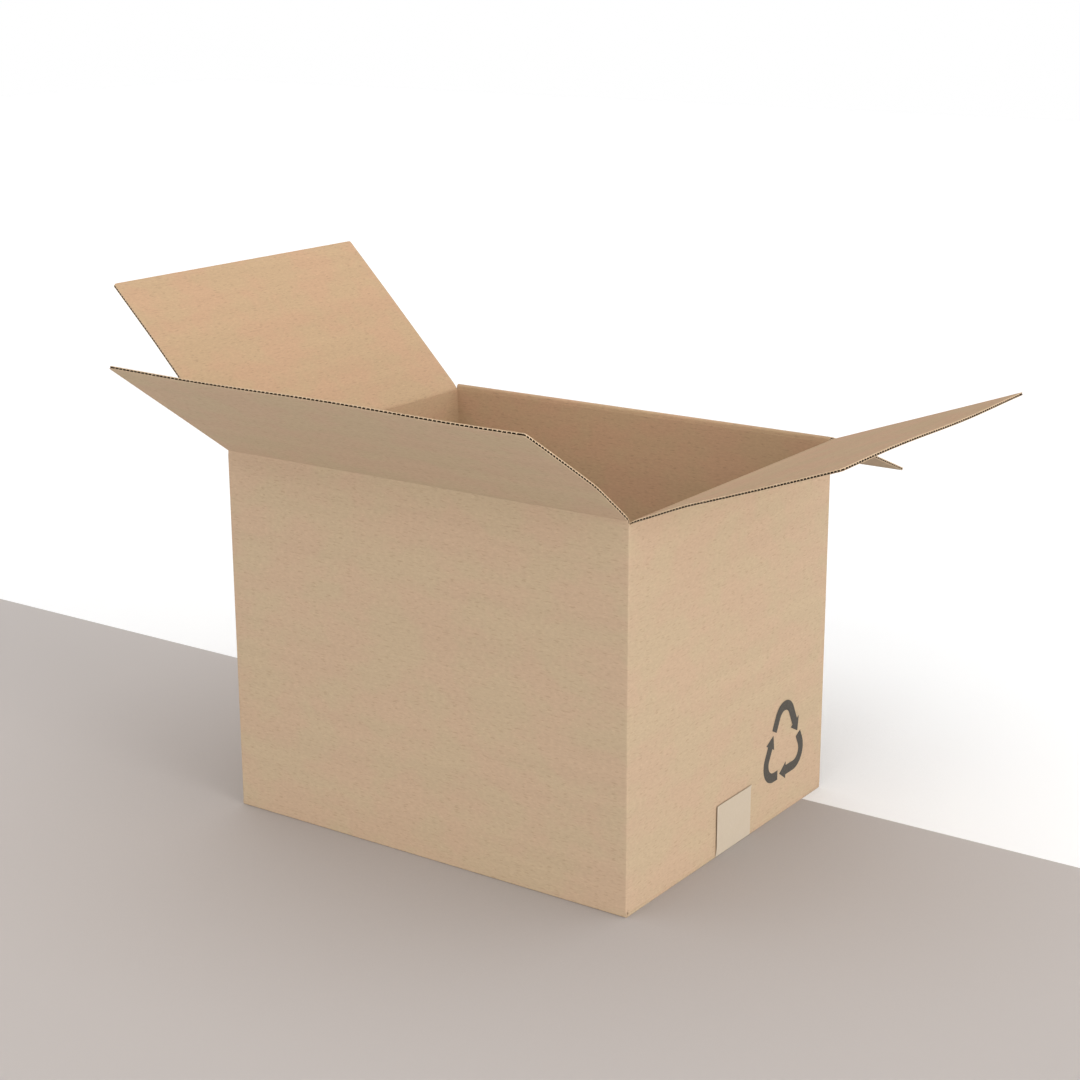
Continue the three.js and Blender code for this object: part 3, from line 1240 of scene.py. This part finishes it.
@dataclass(frozen=True)
class Studio:
    """The plain floor in two tones, the soft lights and the camera.

    The floor's tones meet at floor_edge in Y. The back one glows a little for the camera, and all
    of it bounces the same light. The lamps are given by the way to them and their strength. Angles
    are in degrees, the spot's power is in watts, and the lens is in millimetres.
    """

    floor_edge: float = 0.112
    floor_reach: float = 6.0
    front_colour: tuple[int, int, int] = (198, 191, 187)
    back_white: float = 0.94
    back_glow: float = 0.12
    floor_bounce: float = 0.93
    painted_contact_shadow: float = 0.44
    contact_reach: float = 0.3
    horizon: float = 1.26
    zenith: float = 0.68
    key_way: tuple[float, float, float] = (0.98, -0.1, 0.12)
    key_strength: float = 1.99
    fill_way: tuple[float, float, float] = (0.1, -0.88, 0.47)
    fill_strength: float = 0.54
    sun_spread: float = 40.0
    spot_place: tuple[float, float, float] = (0.1, -0.55, 1.5)
    spot_aim: tuple[float, float, float] = (0.0, 0.04, 0.16)
    spot_power: float = 44.0
    spot_cone: float = 14.0
    spot_size: float = 0.12
    eye: tuple[float, float, float] = (0.884126, -1.254720, 0.645109)
    azimuth: float = 34.96
    elevation: float = 15.95
    roll: float = -0.21
    lens: float = 70.917

    def floor(self) -> None:
        """Two flat sheets that meet in a line under the carton: pale grey in front, white behind.

        Where something stands or hangs near, their colour is darkened as painted contact shadow, in
        proportion to how much of the space over them it takes up.
        """
        reach, edge = self.floor_reach, self.floor_edge
        white = (self.back_white, self.back_white, self.back_white, 1.0)
        bounce = (self.floor_bounce, self.floor_bounce, self.floor_bounce, 1.0)
        tones = (
            ("floor_front", -reach, edge, linear(*self.front_colour), 0.0),
            ("floor_back", edge, reach, white, self.back_glow),
        )
        for name, near_y, far_y, colour, glow in tones:
            mesh = bpy.data.meshes.new(name)
            corners = [(-reach, near_y, 0), (reach, near_y, 0), (reach, far_y, 0), (-reach, far_y, 0)]
            mesh.from_pydata(corners, [], [(0, 1, 2, 3)])
            g = Graph(name)
            camera = g.node("LightPath").outputs["Is Camera Ray"]
            # Painted contact shadow: the floor's colour is darkened where the carton takes up the space
            # over it.
            near = g.node("AmbientOcclusion", {"samples": 6}, Distance=self.contact_reach).outputs["AO"]
            shade = g.grey(g.spread(near, 0.0, 1.0, 1 - self.painted_contact_shadow, 1.0))
            seen = g.mix(1.0, colour, shade, "MULTIPLY")
            g.dress(g.mix(camera, bounce, seen), roughness=0.9, specular=0.1)
            g.feed(g.shader.inputs["Emission Color"], (1, 1, 1, 1))
            g.feed(g.shader.inputs["Emission Strength"], g.reckon("MULTIPLY", camera, glow))
            mesh.materials.append(g.material)
            add_object(name, mesh)

    def world(self) -> None:
        """A soft sky, that is plain white where the camera or a mirror sees it.

        Its strength goes evenly from the horizon's to the zenith's with the height of the way.
        """
        world = bpy.data.worlds.new("studio")
        bpy.context.scene.world = world
        world.use_nodes = True
        nodes, links = world.node_tree.nodes, world.node_tree.links
        nodes.clear()
        output = nodes.new("ShaderNodeOutputWorld")
        path = nodes.new("ShaderNodeLightPath")
        sky, seen = nodes.new("ShaderNodeBackground"), nodes.new("ShaderNodeBackground")
        seen.inputs["Color"].default_value = (1, 1, 1, 1)
        sky.inputs["Color"].default_value = (1, 1, 1, 1)
        direction = nodes.new("ShaderNodeTexCoord")
        height = nodes.new("ShaderNodeSeparateXYZ")
        links.new(direction.outputs["Generated"], height.inputs[0])
        strength = nodes.new("ShaderNodeMapRange")
        strength.inputs["To Min"].default_value = self.horizon
        strength.inputs["To Max"].default_value = self.zenith
        links.new(height.outputs["Z"], strength.inputs["Value"])
        links.new(strength.outputs["Result"], sky.inputs["Strength"])
        largest = nodes.new("ShaderNodeMath")
        largest.operation = "MAXIMUM"
        links.new(path.outputs["Is Camera Ray"], largest.inputs[0])
        links.new(path.outputs["Is Glossy Ray"], largest.inputs[1])
        mix = nodes.new("ShaderNodeMixShader")
        links.new(largest.outputs[0], mix.inputs[0])
        links.new(sky.outputs[0], mix.inputs[1])
        links.new(seen.outputs[0], mix.inputs[2])
        links.new(mix.outputs[0], output.inputs["Surface"])

    def sun(self, name: str, toward: tuple[float, float, float], strength: float) -> None:
        """A very soft far lamp that shines on the carton from one direction.

        Args:
            name: the lamp's name.
            toward: the way from the carton to the lamp.
            strength: its strength.
        """
        data = bpy.data.lights.new(name, "SUN")
        data.energy, data.angle = strength, math.radians(self.sun_spread)
        obj = add_object(name, data)
        obj.location = Vector(toward) * 3
        obj.rotation_euler = (-Vector(toward)).to_track_quat("-Z", "Y").to_euler()

    def spot(self, name: str) -> None:
        """A narrow soft lamp that shines into the open carton from above.

        Args:
            name: the lamp's name.
        """
        data = bpy.data.lights.new(name, "SPOT")
        data.energy, data.spot_size, data.spot_blend = self.spot_power, math.radians(self.spot_cone), 1.0
        data.shadow_soft_size = self.spot_size
        obj = add_object(name, data)
        obj.location = self.spot_place
        way = Vector(self.spot_aim) - Vector(self.spot_place)
        obj.rotation_euler = way.to_track_quat("-Z", "Y").to_euler()

    def camera(self) -> None:
        """The camera at the photograph's angle, from its place, its bearing and its long lens."""
        a, e, r = (math.radians(v) for v in (self.azimuth, self.elevation, self.roll))
        back = Vector((math.sin(a) * math.cos(e), -math.cos(a) * math.cos(e), math.sin(e)))
        right = Vector((math.cos(a), math.sin(a), 0))
        up = back.cross(right)
        right, up = right * math.cos(r) + up * math.sin(r), up * math.cos(r) - right * math.sin(r)
        data = bpy.data.cameras.new("camera")
        data.lens, data.sensor_width = self.lens, 36.0
        data.clip_start, data.clip_end = 0.05, 50.0
        obj = add_object("camera", data)
        turn = Matrix((right, up, back)).transposed().to_4x4()
        obj.matrix_world = Matrix.Translation(self.eye) @ turn
        bpy.context.scene.camera = obj

    def build(self) -> None:
        """Sets up the floor, the sky, the lamps, the camera and the plain view transform."""
        self.camera()
        self.floor()
        self.world()
        self.sun("key", self.key_way, self.key_strength)
        self.sun("fill", self.fill_way, self.fill_strength)
        self.spot("inside")
        bpy.context.scene.view_settings.view_transform = "Standard"


# How each top flap is warped, as the photograph shows it.
FLAP_SHAPES: dict[Side, dict[str, float]] = {
    Side.FRONT: {
        "bow": 1.4 * MM, "curl": -1.0 * MM, "lean": -0.9, "peak": 0.34, "ripple": 0.5 * MM, "seed": 2.1,
    },
    Side.BACK: {"bow": 0.0, "curl": -1.0 * MM, "lean": 0.2, "seed": 2.1},
    Side.LEFT: {"bow": 0.7 * MM, "lean": -0.5, "peak": 0.65, "side_pitch": 2.4 * MM, "seed": 3.7},
    Side.RIGHT: {
        "bow": 1.3 * MM, "curl": 1.7 * MM, "lean": 0.8, "peak": 0.27,
        "ripple": 0.6 * MM, "ripple_turns": 4.2, "side_pitch": 2.4 * MM, "seed": -0.36,
    },
}


def top_flap(carton: Carton, side: Side, joint: dict, node: str, **shape: float) -> Sheet:
    """One top flap as it stands, from its joint and its solid.

    The solid reaches out past its wall's face by the depth times the sine of its turn past upright,
    and past a right angle by the board's thickness times the cosine too.

    Args:
        carton: the carton it hangs on.
        side: the wall it hangs on.
        joint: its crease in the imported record.
        node: its solid's name.
        **shape: how the sheet is warped, by the names of its fields.

    Returns:
        The sheet.
    """
    corner, inward = carton.wall_place(side)
    height = joint["pos_m"][2]
    low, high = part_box(node)
    width = high.x - low.x if side in (Side.FRONT, Side.BACK) else high.y - low.y
    outward = -Vector(inward)
    reach = max(outward.dot(low), outward.dot(high)) - outward.dot(Vector((*corner, 0.0)))
    turn = math.radians(-joint["range_deg"][0]) - math.pi / 2
    depth = (reach - BOARD.thickness * max(0.0, -math.cos(turn))) / math.sin(turn)
    place = Place((corner[0], corner[1], height), inward, True)
    crease_radius = 0.5 * MM
    crease = Crease(turn, crease_radius, True)
    wall = height - carton.top
    return Sheet(crease, place, width, wall, depth, blank_shift=carton.blank_shifts()[side], **shape)


def hinge(obj: bpy.types.Object, flap: Sheet) -> None:
    """Bakes a top flap's placement into its mesh; it sets up no fold.

    A span across the crease is worked out, along the mean of the wall's way up and the flap's own way, but
    nothing uses it.

    Args:
        obj: the flap's object.
        flap: the sheet it was made from.
    """
    half_fold = 1.4 * MM
    turn = flap.crease.turn
    across = -np.array(flap.place.inward) * math.sin(turn) + np.array([0, 0, 1 + math.cos(turn)])
    across = across / np.linalg.norm(across) * half_fold
    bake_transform(obj)


def main() -> None:
    """Builds the studio and every piece of the carton, and reports each piece."""
    Studio().build()
    joints = {joint["name"]: joint for joint in frame["joints"]}
    low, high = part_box("carton_body")
    tape_low, tape_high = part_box("bottom_tape")
    crease_gap = 0.3 * MM
    short_crease = joints["right_flap_crease"]["pos_m"][2]
    carton = Carton(high.x, high.y, short_crease - crease_gap, low.z)
    flaps = {}
    for side, shape in FLAP_SHAPES.items():
        node = side.value + "_flap"
        flap = top_flap(carton, side, joints[node + "_crease"], node, **shape)
        flaps[side] = flap
        obj = flap.build(Surface()).make_object(node + "_board", board_materials())
        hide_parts(node)
        hinge(obj, flap)
        size = (flap.width / MM, flap.depth / MM, math.degrees(flap.crease.turn))
        LOG.info("%s flap: %.1f x %.1f mm, turned %.1f degrees past upright", side.value, *size)
    short_flap = flaps[Side.RIGHT]
    body = carton.build(flaps[Side.FRONT].depth, short_flap.depth, short_flap.width)
    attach(body, "carton")
    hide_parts("carton_body")
    LOG.info("carton: %.1f x %.1f mm", 2 * carton.half_length / MM, 2 * carton.half_width / MM)
    tape = Tape(tape_low, tape_high).build(carton)
    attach(tape, "carton")
    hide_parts("bottom_tape")
    sign = RecyclingSign().build(carton)
    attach(sign, "carton")
    LOG.info("tape and recycling sign made")


if __name__ == "__main__":
    main()
